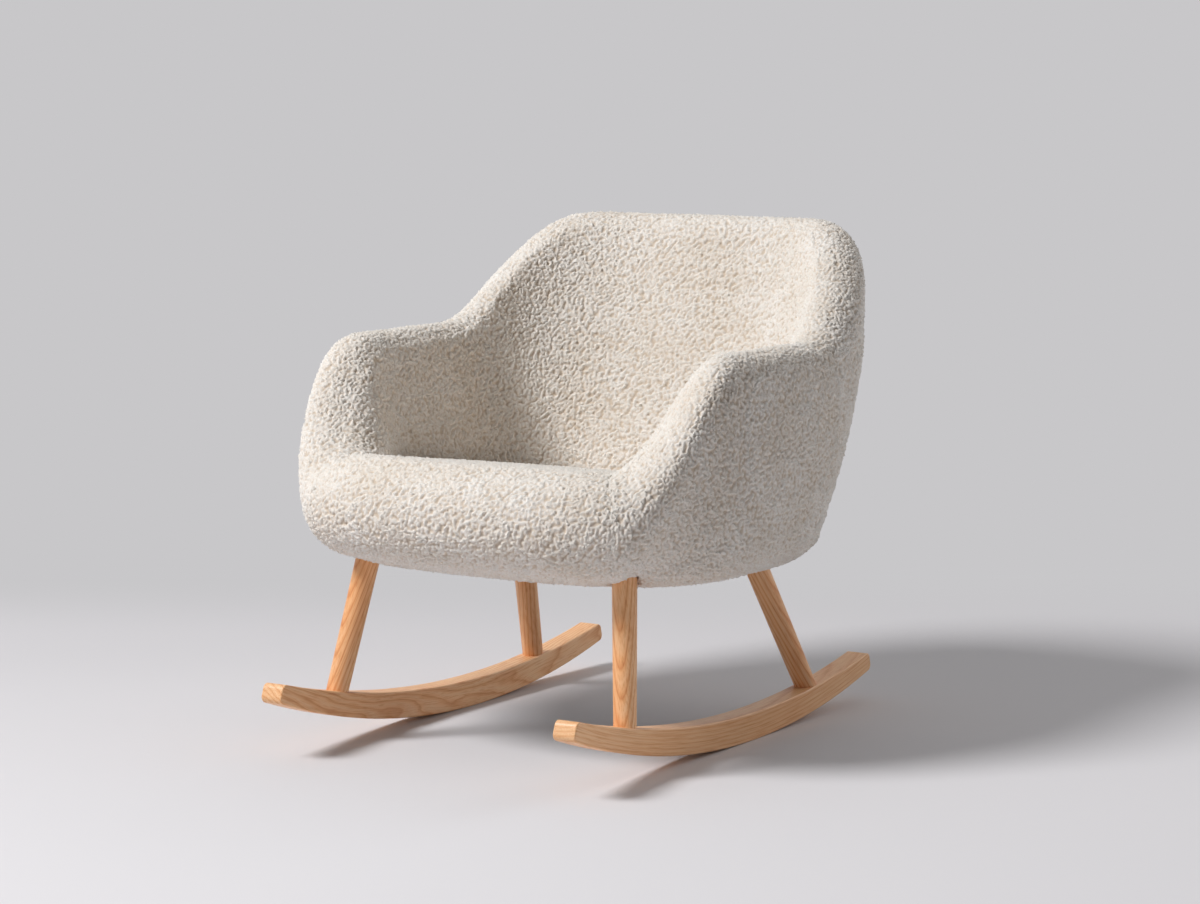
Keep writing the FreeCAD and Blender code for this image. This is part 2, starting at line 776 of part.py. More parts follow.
# Covers
outside_cover = loft([outside_cover_section(turn) for turn in tub_turns()])
save("outside_cover", main_solid(outside_cover.cut(leg_holes)))
save("inside_cover", loft([inside_cover_section(turn) for turn in tub_turns()]))
front_cover = loft([front_cover_section(turn) for turn in front_turns()])
save("front_border_cover", main_solid(front_cover.cut(leg_holes)))
seat_cover = seat_pad(0.0, pad_z).cut([seat_pad(cover_thickness, pad_z - cover_thickness), border_room])
save("seat_cover", main_solid(seat_cover))
dust_z = underside_z - dust_thickness
dust_cover = plan_plate(lambda turn: foot_radius(turn) - dust_inset, dust_z, dust_thickness)
save("dust_cover", main_solid(dust_cover.cut(leg_holes)))
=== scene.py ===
import bmesh
import bpy
import json
import math
import numpy
from mathutils import Euler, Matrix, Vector, noise
from mathutils.bvhtree import BVHTree
from mathutils.kdtree import KDTree


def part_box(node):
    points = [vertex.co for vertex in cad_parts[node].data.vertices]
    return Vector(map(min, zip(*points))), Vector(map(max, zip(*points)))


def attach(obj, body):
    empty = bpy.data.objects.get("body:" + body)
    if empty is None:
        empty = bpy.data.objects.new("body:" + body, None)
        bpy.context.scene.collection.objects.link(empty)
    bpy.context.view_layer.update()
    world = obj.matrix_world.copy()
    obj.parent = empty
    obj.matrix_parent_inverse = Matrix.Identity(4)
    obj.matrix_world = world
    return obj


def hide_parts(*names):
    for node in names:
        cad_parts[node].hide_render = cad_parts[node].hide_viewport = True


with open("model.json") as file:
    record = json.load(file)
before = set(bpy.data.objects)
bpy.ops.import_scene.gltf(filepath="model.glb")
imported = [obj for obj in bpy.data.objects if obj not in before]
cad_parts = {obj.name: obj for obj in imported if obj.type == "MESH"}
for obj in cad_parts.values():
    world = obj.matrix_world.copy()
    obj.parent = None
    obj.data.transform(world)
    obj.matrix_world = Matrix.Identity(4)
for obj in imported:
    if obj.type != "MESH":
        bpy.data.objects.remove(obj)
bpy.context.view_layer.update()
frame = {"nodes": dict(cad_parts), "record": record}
nodes = frame["nodes"]
scene = bpy.context.scene
mm = 0.001
print("frame loaded:", len(nodes), "nodes")


def linear(hexColour):
    values = [int(hexColour[i:i + 2], 16) / 255 for i in (1, 3, 5)]
    return [v / 12.92 if v <= 0.04045 else ((v + 0.055) / 1.055) ** 2.4 for v in values] + [1.0]


def addNode(tree, kind, inputs=None, stops=None, **settings):  # stops are the places and colours of a ramp
    node = tree.nodes.new(kind)
    for setting, value in settings.items():
        setattr(node, setting, value)
    for socket, value in (inputs or {}).items():
        if isinstance(value, bpy.types.NodeSocket):
            tree.links.new(value, node.inputs[socket])
        else:
            node.inputs[socket].default_value = value
    for number, (place, hexColour) in enumerate(stops or []):
        elements = node.color_ramp.elements
        stop = elements[number] if number < 2 else elements.new(place)  # a new ramp has two stops
        stop.position = place
        stop.color = linear(hexColour)
    return node


def newTree(name):
    material = bpy.data.materials.new(name)
    material.use_nodes = True
    material.node_tree.nodes.clear()
    return material, material.node_tree


def finishSurface(tree, inputs):
    shader = addNode(tree, "ShaderNodeBsdfPrincipled", inputs)
    addNode(tree, "ShaderNodeOutputMaterial", {"Surface": shader.outputs["BSDF"]})


def wear(mesh, material):
    mesh.materials.clear()
    mesh.materials.append(material)


# Covers and padding

boucle = {
    "curl": [(0.1, "#dbcebf"), (0.8, "#f5f3ef"), (0.42, "#f1ebe5")],  # backing, tip and middle; the darker, warmer backing is painted shade in the hollows between the curls
    "patch": 70 * mm,  # slow change of tone over the cloth
    "patchTones": [(0.3, "#f8f5f1"), (0.7, "#ffffff")],
    "fibre": 1.6 * mm,  # single fibres are finer, and are drawn this coarse to show at all
    "fibreTones": [(0.36, "#f5f0ea"), (0.56, "#ffffff")],
    "fibreDepth": 0.8 * mm, "fibreBump": 0.5,
    "roughness": 0.95, "specular": 0.15, "sheen": 0.25, "sheenRoughness": 0.45,
}


def curlyBoucle():  # knitted wool-like cloth: pale curls, painted warm shade between them, a soft bloom
    material, tree = newTree("boucle_curly_pile")
    space = addNode(tree, "ShaderNodeTexCoord").outputs["Object"]
    height = addNode(tree, "ShaderNodeAttribute", attribute_name="pileHeight").outputs["Fac"]
    # low pile takes the darker backing colour: painted shade in the hollows between curls
    curl = addNode(tree, "ShaderNodeValToRGB", {"Fac": height}, stops=boucle["curl"])
    patches = addNode(tree, "ShaderNodeTexNoise", {
        "Vector": space, "Scale": 1 / boucle["patch"], "Detail": 2.0}).outputs["Fac"]
    patchTone = addNode(tree, "ShaderNodeValToRGB", {"Fac": patches}, stops=boucle["patchTones"])
    toned = addNode(tree, "ShaderNodeMix", {0: 1.0, 6: curl.outputs["Color"], 7: patchTone.outputs["Color"]},
                    data_type="RGBA", blend_type="MULTIPLY")
    fibres = addNode(tree, "ShaderNodeTexNoise", {
        "Vector": space, "Scale": 1 / boucle["fibre"], "Detail": 3.0}).outputs["Fac"]
    fibreTone = addNode(tree, "ShaderNodeValToRGB", {"Fac": fibres}, stops=boucle["fibreTones"])
    colour = addNode(tree, "ShaderNodeMix", {0: 1.0, 6: toned.outputs[2], 7: fibreTone.outputs["Color"]},
                     data_type="RGBA", blend_type="MULTIPLY")
    bump = addNode(tree, "ShaderNodeBump", {
        "Height": fibres, "Strength": boucle["fibreBump"], "Distance": boucle["fibreDepth"]})
    finishSurface(tree, {
        "Base Color": colour.outputs[2], "Normal": bump.outputs["Normal"],
        "Roughness": boucle["roughness"], "Specular IOR Level": boucle["specular"],
        "Sheen Weight": boucle["sheen"], "Sheen Roughness": boucle["sheenRoughness"]})
    return material


padding = {
    "merge": 0.01 * mm,  # the CAD meshes' loose triangles are joined within this
    "voxel": 7.5 * mm,  # size of the even faces that the cloth is simulated on
    "relax": 0.5, "relaxTimes": 3,  # smooths their steps
    "shrink": 1.5 * mm,  # the form starts this much smaller
    "cap": 2.5 * mm,  # and swells by this much at most
    "pressure": 60.0, "quality": 3, "frames": 8,
    "seamTurn": math.radians(141.0),  # of the front seams, from the middle of the back
    "seamFlat": 1.6 * mm,  # the faces that meet at a seam lie this near to it
    "seamLap": 6.0 * mm,  # and are pressed into each other by this much
    "seamHold": 12.0 * mm,  # a seam holds the cloth down within this reach
    "baseHold": 30.0 * mm,  # and so do the staples under the base
    "finer": 2,  # subdivisions that carry the pile
}


def joinedCopy(name, nodeNames):
    joined = bmesh.new()
    for nodeName in nodeNames:
        joined.from_mesh(nodes[nodeName].data)
    bmesh.ops.remove_doubles(joined, verts=joined.verts, dist=padding["merge"])
    mesh = bpy.data.meshes.new(name)
    joined.to_mesh(mesh)
    joined.free()
    piece = bpy.data.objects.new(name, mesh)
    scene.collection.objects.link(piece)
    return piece


def applyModifiers(piece):
    shown = piece.evaluated_get(bpy.context.evaluated_depsgraph_get())
    mesh = bpy.data.meshes.new_from_object(shown)
    old = piece.data
    piece.modifiers.clear()
    piece.data = mesh
    bpy.data.meshes.remove(old)
    mesh.name = piece.name


def readPlaces(mesh):
    places = numpy.empty(len(mesh.vertices) * 3, numpy.float32)
    mesh.vertices.foreach_get("co", places)
    return places.reshape(-1, 3)


def readNormals(mesh):
    ways = numpy.empty(len(mesh.vertices) * 3, numpy.float32)
    mesh.vertex_normals.foreach_get("vector", ways)
    return ways.reshape(-1, 3)


def writePlaces(mesh, places):
    mesh.vertices.foreach_set("co", numpy.asarray(places, numpy.float32).ravel())
    mesh.update()


def fromSeam(places):  # how far a point lies in front of the seam on its side, below zero on the arm
    turn = padding["seamTurn"]
    return numpy.abs(places[:, 0]) * math.cos(turn) - places[:, 1] * math.sin(turn)


def lapAtSeams(mesh, side):  # moves the flat faces at the seams, side 1 forwards and -1 back
    places = readPlaces(mesh)
    turn = padding["seamTurn"]
    gap = fromSeam(places)
    atSeam = numpy.abs(gap) < padding["seamFlat"]
    forwards = numpy.zeros((len(places), 3))
    forwards[:, 0] = numpy.sign(places[:, 0]) * math.cos(turn)
    forwards[:, 1] = -math.sin(turn)
    writePlaces(mesh, places + forwards * (atSeam * (side * padding["seamLap"] - gap))[:, None])


def evenOut(piece):
    remesh = piece.modifiers.new("even", "REMESH")
    remesh.mode = "VOXEL"
    remesh.voxel_size = padding["voxel"]
    relax = piece.modifiers.new("relax", "SMOOTH")
    relax.factor = padding["relax"]
    relax.iterations = padding["relaxTimes"]
    applyModifiers(piece)


def keepOuterSkin(piece):  # leaves out the closed hollows that the remesh finds round the tubes
    skin = bmesh.new()
    skin.from_mesh(piece.data)
    waiting = [max(skin.verts, key=lambda vert: vert.co.z)]
    kept = set(waiting)
    while waiting:
        vert = waiting.pop()
        for edge in vert.link_edges:
            other = edge.other_vert(vert)
            if other not in kept:
                kept.add(other)
                waiting.append(other)
    bmesh.ops.delete(skin, geom=[vert for vert in skin.verts if vert not in kept], context="VERTS")
    skin.to_mesh(piece.data)
    skin.free()


def easeIn(distance, reach):
    share = numpy.clip(distance / reach, 0, 1)
    return share * share * (3 - 2 * share)


def swell(piece, lowest):  # cloth under pressure, held along its seams and stapled down under the base
    mesh = piece.data
    start, ways = readPlaces(mesh), readNormals(mesh)
    fromBase = easeIn(start[:, 2] - lowest, padding["baseHold"])
    free = fromBase * easeIn(numpy.abs(fromSeam(start)), padding["seamHold"])
    start = start - ways * (padding["shrink"] * fromBase)[:, None]
    writePlaces(mesh, start)
    held = piece.vertex_groups.new(name="held")
    for index, weight in enumerate(free):
        held.add([index], 1.0 - float(weight), "REPLACE")
    cloth = piece.modifiers.new("swell", "CLOTH")
    cloth.settings.quality = padding["quality"]
    cloth.settings.use_pressure = True
    cloth.settings.uniform_pressure_force = padding["pressure"]
    cloth.settings.effector_weights.gravity = 0
    cloth.settings.vertex_group_mass = held.name
    cloth.collision_settings.use_collision = False
    for frameNumber in range(1, padding["frames"] + 1):
        scene.frame_set(frameNumber)
    applyModifiers(piece)
    scene.frame_set(1)
    outward = numpy.clip(((readPlaces(piece.data) - start) * ways).sum(1), 0, padding["cap"])
    writePlaces(piece.data, start + ways * outward[:, None])
    piece.vertex_groups.clear()
    print(piece.name, "swelled by", round(float(outward.mean() / mm), 2), "mm on average")


pile = {
    "length": 3.1 * mm, "width": 2.15 * mm,  # a curl falls away faster across than along itself
    "stray": 1.8 * mm,  # curls stand in uneven rows
    "brushed": (0.6, 0.4, 1.0),  # they lie more or less this way
    "unruly": 0.5,  # and leave it by about this much
    "depth": 4.3 * mm,  # from the backing to the top of a curl
    "sink": 2.6 * mm,  # the backing lies this far inside the form
    "lean": 0.35,  # how far a curl falls over, against its height
    "short": 0.4,  # the lowest curls are lower by this share
    "clump": 24 * mm, "clumping": 0.13,  # curls stand higher and lower in clumps
    "fuzz": 0.6 * mm,  # roughness of the curls themselves
    "near": 4,  # curls that can cover one point
    "flat": 12 * mm,  # the dust cover presses the pile down within this reach
    "seed": 3,
}
chance = numpy.random.default_rng(pile["seed"])
dustTree = BVHTree.FromObject(nodes["dust_cover"], bpy.context.evaluated_depsgraph_get())


def alongCloth(vectors, ways):
    return vectors - ways * (vectors * ways).sum(-1, keepdims=True)


def curlRoots(mesh):  # one curl on each corner and in the middle of each face, with the way that it lies
    places, ways = readPlaces(mesh), readNormals(mesh)
    corners = numpy.empty(len(mesh.loops), numpy.int32)
    mesh.loops.foreach_get("vertex_index", corners)
    corners = corners.reshape(-1, 4)  # the remesh makes four-sided faces only
    roots = numpy.concatenate([places, places[corners].mean(1)])
    rootWays = numpy.concatenate([ways, ways[corners].mean(1)])
    roots += alongCloth(chance.normal(0, pile["stray"], roots.shape), rootWays)
    lies = alongCloth(chance.normal(pile["brushed"], pile["unruly"], roots.shape), rootWays)
    lies /= numpy.linalg.norm(lies, axis=1, keepdims=True)
    clumps = numpy.array([noise.noise(Vector(root) / pile["clump"]) for root in roots.tolist()])
    tops = 1 - pile["short"] * chance.random(len(roots)) + pile["clumping"] * clumps
    return roots, lies, tops


def pressedFlat(places):  # 1 where the dust cover is stapled over the pile, 0 beyond its reach
    pressed = numpy.zeros(len(places), numpy.float32)
    for index in numpy.nonzero(places[:, 2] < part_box("dust_cover")[1].z + pile["flat"])[0]:
        distance = dustTree.find_nearest(Vector(places[index]))[3]
        pressed[index] = max(0.0, 1.0 - distance / pile["flat"])
    return pressed


def raisePile(piece, roots, lies, tops):
    mesh = piece.data
    places, ways = readPlaces(mesh), readNormals(mesh)
    tree = KDTree(len(roots))
    for index, root in enumerate(roots.tolist()):
        tree.insert(root, index)
    tree.balance()
    near = numpy.array([[hit[1] for hit in tree.find_n(place, pile["near"])] for place in places.tolist()])
    offset = alongCloth(places[:, None] - roots[near], ways[:, None])
    along = (offset * lies[near]).sum(2)
    across = (offset ** 2).sum(2) - along ** 2
    heights = tops[near] * numpy.exp(-(along / pile["length"]) ** 2 - across / pile["width"] ** 2)
    highest = heights.argmax(1)
    rows = numpy.arange(len(places))
    free = 1 - pressedFlat(places)
    heights = heights[rows, highest] * free
    lie = lies[near[rows, highest]]
    rise = heights * pile["depth"] - (pile["sink"] + chance.normal(0, pile["fuzz"], len(places))) * free
    fall = heights ** 2 * pile["lean"] * pile["depth"]
    writePlaces(mesh, places + ways * rise[:, None] + lie * fall[:, None])
    attribute = mesh.attributes.new("pileHeight", "FLOAT", "POINT")
    attribute.data.foreach_set("value", heights.astype(numpy.float32))
    print(piece.name, "has", len(roots), "curls and", len(mesh.polygons), "faces")


backAndArms = {
    "replaced": ["outside_cover", "inside_cover", "back_foam", "arm_foam_left", "arm_foam_right"],
    "inside": ["rim_hoop", "back_post_left", "back_post_right", "side_post_left", "side_post_right"],
    "side": 1,  # laps forwards at the front seams
    "fill": 0.9,
}
seatAndFront = {
    "replaced": ["front_border_cover", "front_border_foam", "seat_cover", "seat_foam"],
    "inside": ["front_rail"],
    "side": -1,  # and this one back
    "fill": 0.85,
}


def upholster(name, made, material):
    piece = joinedCopy(name, made["replaced"] + made["inside"])
    lapAtSeams(piece.data, made["side"])
    evenOut(piece)
    keepOuterSkin(piece)
    swell(piece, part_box("base_ring")[0].z)
    roots, lies, tops = curlRoots(piece.data)
    finer = piece.modifiers.new("finer", "SUBSURF")
    finer.levels = finer.render_levels = padding["finer"]
    applyModifiers(piece)
    raisePile(piece, roots, lies, tops)
    piece.data.polygons.foreach_set("use_smooth", [True] * len(piece.data.polygons))
    wear(piece.data, material)
    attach(piece, "root")
    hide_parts(*made["replaced"])


cover = curlyBoucle()
upholster("back_and_arms", backAndArms, cover)
upholster("seat_and_front", seatAndFront, cover)
print("covers made")


# Legs and rockers

ash = {
    "pale": "#fcd2a6", "honey": "#f8c593", "early": "#de975e",
    "ring": 6.0 * mm,  # width of a year's growth
    "drift": 45 * mm,  # the rings wander over this reach
    "drifting": 32 * mm,  # by up to a quarter of this to either side, where the wood is figured
    "along": 0.22,  # and more slowly along the grain
    "slant": (0.06, 0.03, 0.0),  # there the heart runs out of the piece
    "bend": 1453 * mm,  # the rockers' grain follows this radius
    "pore": 1.5 * mm,  # real pores are 0.3 mm, and are drawn this coarse to show
    "poreAlong": 0.03,  # they are long and thin
    "poreTones": [(0.33, "#e6c9aa"), (0.52, "#ffffff")], "poreTint": 0.7,
    "poreDepth": 0.15 * mm, "poreBump": 0.25,
    "blush": 64.3 * mm,  # the wood is redder and paler over this reach
    "blushTones": [(0.35, "#f4d9bd"), (0.65, "#ffffff")],
    "roughness": 0.42,
}


def straightGrain(tree, middle, way):  # Z runs along the grain
    space = addNode(tree, "ShaderNodeTexCoord").outputs["Object"]
    turn = Vector((0, 0, 1)).rotation_difference(way).to_euler()
    return addNode(tree, "ShaderNodeMapping", {"Vector": space, "Location": middle, "Rotation": turn},
                   vector_type="TEXTURE").outputs["Vector"]


def bentGrain(tree, centre):  # Z runs round the bend, and Y across it
    space = addNode(tree, "ShaderNodeTexCoord").outputs["Object"]
    spoke = addNode(tree, "ShaderNodeVectorMath", {0: space, 1: centre}, operation="SUBTRACT").outputs[0]
    flat = addNode(tree, "ShaderNodeVectorMath", {0: spoke, 1: (0, 1, 1)}, operation="MULTIPLY").outputs[0]
    radius = addNode(tree, "ShaderNodeVectorMath", {0: flat}, operation="LENGTH").outputs["Value"]
    part = addNode(tree, "ShaderNodeSeparateXYZ", {"Vector": spoke}).outputs
    down = addNode(tree, "ShaderNodeMath", {0: part["Z"], 1: -1.0}, operation="MULTIPLY").outputs[0]
    turn = addNode(tree, "ShaderNodeMath", {0: part["Y"], 1: down}, operation="ARCTAN2").outputs[0]
    along = addNode(tree, "ShaderNodeMath", {0: turn, 1: ash["bend"]}, operation="MULTIPLY").outputs[0]
    across = addNode(tree, "ShaderNodeMath", {0: radius, 1: ash["bend"]}, operation="SUBTRACT").outputs[0]
    return addNode(tree, "ShaderNodeCombineXYZ", {"X": part["X"], "Y": across, "Z": along}).outputs[0]


def growthRings(tree, shifted, length, heart, figure):  # a colour for each season, out from the heart
    slant = [figure * share for share in ash["slant"]]
    leaning = addNode(tree, "ShaderNodeVectorMath", {0: slant, "Scale": length}, operation="SCALE")
    upright = addNode(tree, "ShaderNodeVectorMath", {0: shifted, 1: leaning.outputs[0]},
                      operation="ADD").outputs[0]
    flat = addNode(tree, "ShaderNodeMapping", {
        "Vector": upright, "Scale": (1, 1, 0), "Location": (heart[0], heart[1], 0)}).outputs["Vector"]
    reach = addNode(tree, "ShaderNodeVectorMath", {0: flat}, operation="LENGTH").outputs["Value"]
    year = addNode(tree, "ShaderNodeMath", {0: reach, 1: 1 / ash["ring"]}, operation="MULTIPLY").outputs[0]
    season = addNode(tree, "ShaderNodeMath", {0: year}, operation="FRACT").outputs[0]
    return addNode(tree, "ShaderNodeValToRGB", {"Fac": season}, stops=[  # by the time of year
        (0.0, ash["honey"]), (0.9, ash["early"]), (0.4, ash["pale"]),
        (0.66, ash["honey"]), (1.0, ash["honey"])]).outputs["Color"]


# Ash under satin lacquer: honey late wood, thin orange lines of early wood, fine darker pores
def ashWood(tree, grain, heart, figure, bold, blushing):
    slow = addNode(tree, "ShaderNodeMapping", {
        "Vector": grain, "Scale": (1, 1, ash["along"]), "Location": heart}).outputs["Vector"]
    wander = addNode(tree, "ShaderNodeTexNoise", {
        "Vector": slow, "Scale": 1 / ash["drift"], "Detail": 3.0, "Roughness": 0.4})
    centred = addNode(tree, "ShaderNodeVectorMath", {0: wander.outputs["Color"], 1: (0.5, 0.5, 0.5)},
                      operation="SUBTRACT")
    shifted = addNode(tree, "ShaderNodeVectorMath", {
        0: centred.outputs[0], 1: [figure * ash["drifting"]] * 3, 2: grain},
        operation="MULTIPLY_ADD").outputs[0]
    length = addNode(tree, "ShaderNodeSeparateXYZ", {"Vector": grain}).outputs["Z"]
    rings = growthRings(tree, shifted, length, heart, figure)
    marked = addNode(tree, "ShaderNodeMix", {0: bold, 6: linear(ash["honey"]), 7: rings}, data_type="RGBA")
    thin = addNode(tree, "ShaderNodeMapping", {"Vector": shifted, "Scale": (1, 1, ash["poreAlong"])})
    pores = addNode(tree, "ShaderNodeTexNoise", {
        "Vector": thin.outputs["Vector"], "Scale": 1 / ash["pore"], "Detail": 2.0}).outputs["Fac"]
    streaks = addNode(tree, "ShaderNodeValToRGB", {"Fac": pores}, stops=ash["poreTones"])
    streaked = addNode(tree, "ShaderNodeMix", {
        0: ash["poreTint"], 6: marked.outputs[2], 7: streaks.outputs["Color"]},
        data_type="RGBA", blend_type="MULTIPLY")
    tone = addNode(tree, "ShaderNodeTexNoise", {"Vector": slow, "Scale": 1 / ash["blush"]})
    blush = addNode(tree, "ShaderNodeValToRGB", {"Fac": tone.outputs["Fac"]}, stops=ash["blushTones"])
    colour = addNode(tree, "ShaderNodeMix", {0: blushing, 6: streaked.outputs[2], 7: blush.outputs["Color"]},
                     data_type="RGBA", blend_type="MULTIPLY")
    bump = addNode(tree, "ShaderNodeBump", {
        "Height": pores, "Strength": ash["poreBump"], "Distance": ash["poreDepth"]})
    finishSurface(tree, {"Base Color": colour.outputs[2], "Normal": bump.outputs["Normal"],
                         "Roughness": ash["roughness"]})


def legWay(leg):  # about from the foot up to the top, which lies nearer to the middle of the chair
    low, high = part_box(leg)
    middle = (low + high) / 2
    way = high - low
    way.x *= -math.copysign(1, middle.x)
    way.y *= -math.copysign(1, middle.y)
    return middle, way.normalized()


legs = {
    "turns": {"front_leg_left": 100, "front_leg_right": 60, "rear_leg_left": 20, "rear_leg_right": 35},
    "heart": 120 * mm,  # the heart of the tree is this far off, at that turn in degrees
    "apart": 0.4,  # each leg comes from another stretch of the wood
    "figure": 0.2, "bold": 0.85, "blushing": 0.8,
}
for number, (leg, turn) in enumerate(legs["turns"].items()):
    material, tree = newTree("ash_turned_" + leg)
    turn = math.radians(turn)
    heart = (legs["heart"] * math.cos(turn), legs["heart"] * math.sin(turn), legs["apart"] * number)
    grain = straightGrain(tree, *legWay(leg))
    ashWood(tree, grain, heart, legs["figure"], legs["bold"], legs["blushing"])
    wear(nodes[leg].data, material)

rockers = {  # heart of the tree, wildness and strength of the rings, change of tone; weaker rings and blush than the legs' make the rockers paler, partly another cut of wood and partly painted light on their shaded sides
    "rocker_left": {"heart": (20 * mm, 150 * mm, 1.3), "figure": 0.12, "bold": 0.5, "blushing": 0.35},
    "rocker_right": {"heart": (45 * mm, 0.0, 2.3), "figure": 0.9, "bold": 0.75, "blushing": 0.35},
}
contact = Vector(frame["record"]["mounts"][0]["pos_m"])  # where the rockers meet the floor
for rocker, cut in rockers.items():
    material, tree = newTree("ash_bent_" + rocker)
    low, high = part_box(rocker)
    grain = bentGrain(tree, Vector(((low.x + high.x) / 2, contact.y, ash["bend"])))
    ashWood(tree, grain, cut["heart"], cut["figure"], cut["bold"], cut["blushing"])
    wear(nodes[rocker].data, material)
print("wood finished")


# Hidden frame, fittings and seat support

hidden = {  # colours, size of the pattern and its stretch, roughness, metallic and depth of the relief
    "black_powder_coat":  # dull black with a fine orange peel
        ("#1b1b1c", "#2a2a2b", 1.2 * mm, (1, 1, 1), 0.55, 0.0, 0.06 * mm),
    "bright_zinc_plate":  # silvery with faint clouds
        ("#a9aaa6", "#c9cac4", 9 * mm, (1, 1, 1), 0.32, 1.0, 0.02 * mm),
    "birch_plywood_raw":  # pale veneer with long brown grain
        ("#b9946a", "#d9bd93", 3 * mm, (0.05, 0.3, 1), 0.7, 0.0, 0.1 * mm),
    "pine_planed_raw":  # yellow timber with broad soft grain
        ("#c59c68", "#e0c08d", 6 * mm, (0.06, 1, 1), 0.65, 0.0, 0.1 * mm),
    "black_primer_sprayed":  # thin flat black with uneven cover
        ("#202021", "#313132", 4 * mm, (1, 1, 1), 0.6, 0.0, 0.05 * mm),
    "elastic_webbing_woven":  # dark rough cloth with brown flecks
        ("#2c2a28", "#57524c", 2.5 * mm, (1, 1, 1), 0.85, 0.0, 0.3 * mm),
    "grey_felt_needled":  # grey tangled fibres, quite dull
        ("#615f5b", "#8d8a84", 5 * mm, (1, 1, 1), 0.95, 0.0, 0.5 * mm),
    "black_non_woven_spun":  # black papery cloth
        ("#151515", "#2b2b2b", 3 * mm, (1, 1, 1), 0.9, 0.0, 0.2 * mm),
}
stock = {
    "plate_steel": "black_powder_coat", "zinc_steel": "bright_zinc_plate",
    "plywood": "birch_plywood_raw", "base_timber": "pine_planed_raw",
    "frame_steel": "black_primer_sprayed", "webbing": "elastic_webbing_woven",
    "felt": "grey_felt_needled", "non_woven": "black_non_woven_spun",
}


def hiddenFinish(name):
    dark, light, size, stretch, roughness, metallic, relief = hidden[name]
    material, tree = newTree(name)
    space = addNode(tree, "ShaderNodeTexCoord").outputs["Object"]
    drawn = addNode(tree, "ShaderNodeMapping", {"Vector": space, "Scale": stretch}).outputs["Vector"]
    spots = addNode(tree, "ShaderNodeTexNoise", {
        "Vector": drawn, "Scale": 1 / size, "Detail": 3.0}).outputs["Fac"]
    colour = addNode(tree, "ShaderNodeValToRGB", {"Fac": spots}, stops=[(0.35, dark), (0.65, light)])
    bump = addNode(tree, "ShaderNodeBump", {"Height": spots, "Strength": 0.6, "Distance": relief})
    finishSurface(tree, {"Base Color": colour.outputs["Color"], "Normal": bump.outputs["Normal"],
                         "Roughness": roughness, "Metallic": metallic})
    return material


finishes = {slot: hiddenFinish(name) for slot, name in stock.items()}
for subpart in frame["record"]["subparts"]:
    if subpart["material_slot"] in finishes:
        wear(nodes[subpart["node"]].data, finishes[subpart["material_slot"]])
print("frame and fittings finished")


# Studio

studio = {
    "backdrop": "#c8c7c9", "floorNear": "#e2e0e3", "floorFarPaintedShade": "#d4d2d5",
    "floorRadius": 40.0, "floorSides": 96,
    "deep": (-0.529, 0.849, 0.0),  # straight away from the camera
    "farStart": -0.6, "farEnd": 0.7,  # the floor's colour grows darker that way, painted shade where the light falls off
    "sweepStart": 0.75, "sweepEnd": 1.4,  # and runs up into the backdrop
    "roundStart": 2.2, "roundEnd": 4.0,  # which it does on all sides
    "ambient": 0.30,  # light from all round
    "ambientWay": (-0.53, 0.85, 0.0), "ambientTilt": 1.0,  # hardly any comes from the camera's side
    "aim": (0.0, 0.0, 0.4),  # the lamps point here
}


def seenDirectly(tree):  # 1 for what the camera sees, straight, in a mirror or through glass
    path = addNode(tree, "ShaderNodeLightPath")
    seen = path.outputs["Is Camera Ray"]
    for ray in ("Is Glossy Ray", "Is Transmission Ray"):
        either = addNode(tree, "ShaderNodeMath", {0: seen, 1: path.outputs[ray]},
                         operation="ADD", use_clamp=True)
        seen = either.outputs[0]
    return seen


def mattPaper():  # pale paper sweep, painted darker far off as shade, which runs into the backdrop
    material, tree = newTree("paper_matt_pale")
    space = addNode(tree, "ShaderNodeTexCoord").outputs["Object"]
    away = addNode(tree, "ShaderNodeVectorMath", {0: space, 1: studio["deep"]}, operation="DOT_PRODUCT")
    aside = addNode(tree, "ShaderNodeVectorMath", {0: space}, operation="LENGTH")
    shares = {}
    for stretch, distance in (("far", away), ("sweep", away), ("round", aside)):
        shares[stretch] = addNode(tree, "ShaderNodeMapRange", {
            "Value": distance.outputs["Value"],
            "From Min": studio[stretch + "Start"], "From Max": studio[stretch + "End"]},
            interpolation_type="SMOOTHSTEP").outputs["Result"]
    fade = addNode(tree, "ShaderNodeMath", {0: shares["sweep"], 1: shares["round"]}, operation="MAXIMUM")
    share = addNode(tree, "ShaderNodeMath", {0: fade.outputs[0], 1: seenDirectly(tree)},
                    operation="MULTIPLY")
    tone = addNode(tree, "ShaderNodeMix", {
        0: shares["far"], 6: linear(studio["floorNear"]), 7: linear(studio["floorFarPaintedShade"])}, data_type="RGBA")
    paper = addNode(tree, "ShaderNodeBsdfDiffuse", {"Color": tone.outputs[2]})
    sweep = addNode(tree, "ShaderNodeEmission", {"Color": linear(studio["backdrop"])})
    mixed = addNode(tree, "ShaderNodeMixShader", {
        0: share.outputs[0], 1: paper.outputs["BSDF"], 2: sweep.outputs["Emission"]})
    addNode(tree, "ShaderNodeOutputMaterial", {"Surface": mixed.outputs["Shader"]})
    return material


def studioFloor():
    bed = bmesh.new()
    bmesh.ops.create_circle(bed, cap_ends=True, segments=studio["floorSides"], radius=studio["floorRadius"])
    mesh = bpy.data.meshes.new("floor")
    bed.to_mesh(mesh)
    bed.free()
    floor = bpy.data.objects.new("floor", mesh)
    scene.collection.objects.link(floor)
    wear(mesh, mattPaper())


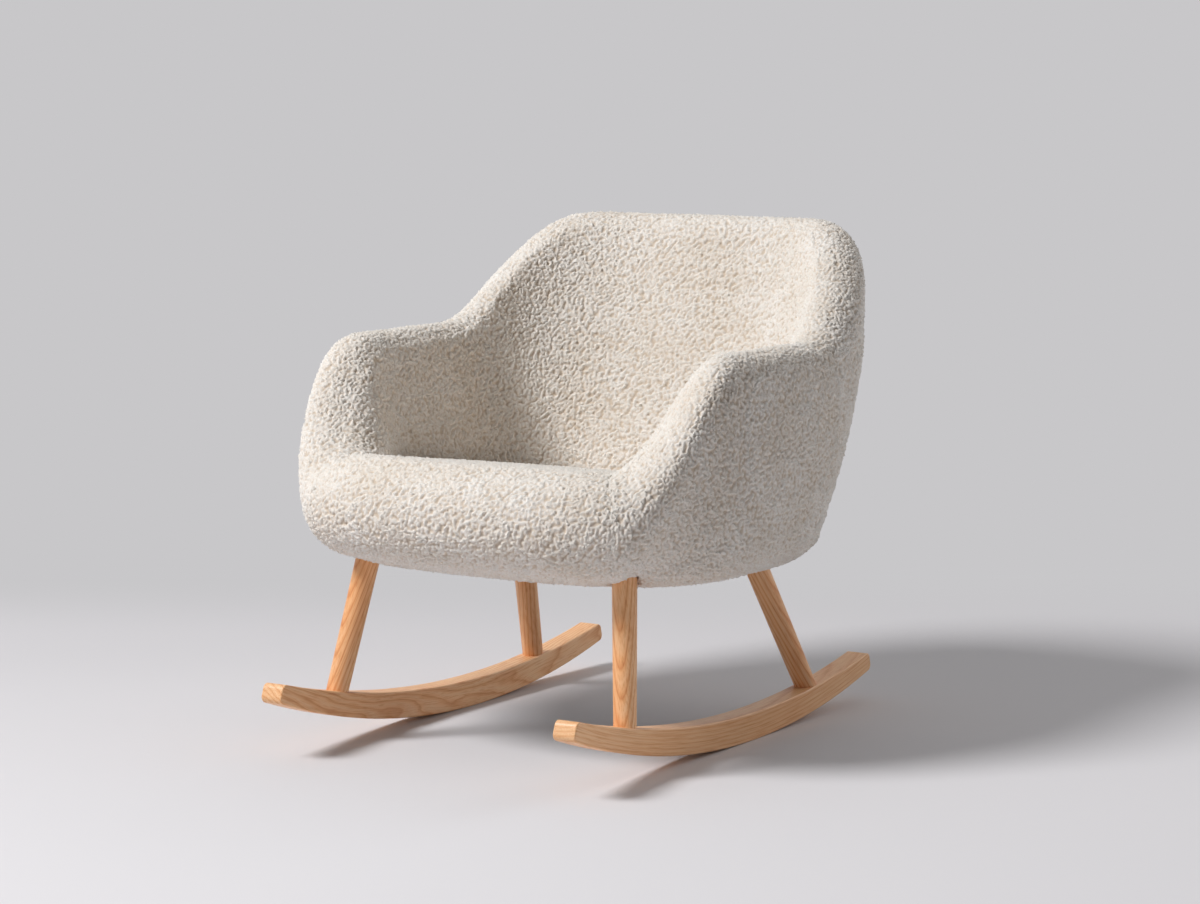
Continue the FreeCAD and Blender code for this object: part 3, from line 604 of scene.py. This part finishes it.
def studioWorld():
    world = bpy.data.worlds.new("studio")
    world.use_nodes = True
    scene.world = world
    tree = world.node_tree
    tree.nodes.clear()
    way = addNode(tree, "ShaderNodeTexCoord").outputs["Generated"]
    side = addNode(tree, "ShaderNodeVectorMath", {0: way, 1: studio["ambientWay"]},
                   operation="DOT_PRODUCT")
    level = addNode(tree, "ShaderNodeMath", {
        0: side.outputs["Value"], 1: studio["ambientTilt"] * studio["ambient"], 2: studio["ambient"]},
        operation="MULTIPLY_ADD")
    ambient = addNode(tree, "ShaderNodeBackground", {
        "Color": (1, 1, 1, 1), "Strength": level.outputs[0]})
    backdrop = addNode(tree, "ShaderNodeBackground", {
        "Color": linear(studio["backdrop"]), "Strength": 1.0})
    mixed = addNode(tree, "ShaderNodeMixShader", {
        0: seenDirectly(tree), 1: ambient.outputs["Background"], 2: backdrop.outputs["Background"]})
    addNode(tree, "ShaderNodeOutputWorld", {"Surface": mixed.outputs["Shader"]})


lamps = {  # level is how brightly one lights a white sheet that faces it
    "key": {"way": (-0.41, -0.57, 0.71), "far": 7.0, "size": 2.3, "level": 0.89},
    "fill": {"way": (0.50, 0.80, 0.35), "far": 4.0, "size": 2.5, "level": 0.18},
}


def softbox(name):
    made = lamps[name]
    lamp = bpy.data.lights.new(name, "AREA")
    lamp.shape = "DISK"
    lamp.size = made["size"]
    lamp.energy = made["level"] * math.pi ** 2 * made["far"] ** 2
    light = bpy.data.objects.new(name, lamp)
    way = Vector(made["way"]).normalized()
    light.location = Vector(studio["aim"]) + way * made["far"]
    light.rotation_euler = way.to_track_quat("Z", "Y").to_euler()
    scene.collection.objects.link(light)


view = {
    "place": (2.5820, -4.0859, 1.0070), "yaw": 31.9353, "pitch": 7.0483,
    "focal": 3340.79, "width": 1200,  # in the photograph's pixels
    "sensor": 36.0,
}


def viewpoint():
    lens = bpy.data.cameras.new("camera")
    lens.sensor_fit = "HORIZONTAL"
    lens.sensor_width = view["sensor"]
    lens.lens = view["focal"] / view["width"] * view["sensor"]
    camera = bpy.data.objects.new("camera", lens)
    camera.location = view["place"]
    tilt = math.pi / 2 - math.radians(view["pitch"])
    camera.rotation_euler = Euler((tilt, 0, math.radians(view["yaw"])))
    scene.collection.objects.link(camera)
    scene.camera = camera


studioFloor()
studioWorld()
for name in lamps:
    softbox(name)
viewpoint()
scene.view_settings.view_transform = "Standard"
print("studio ready")
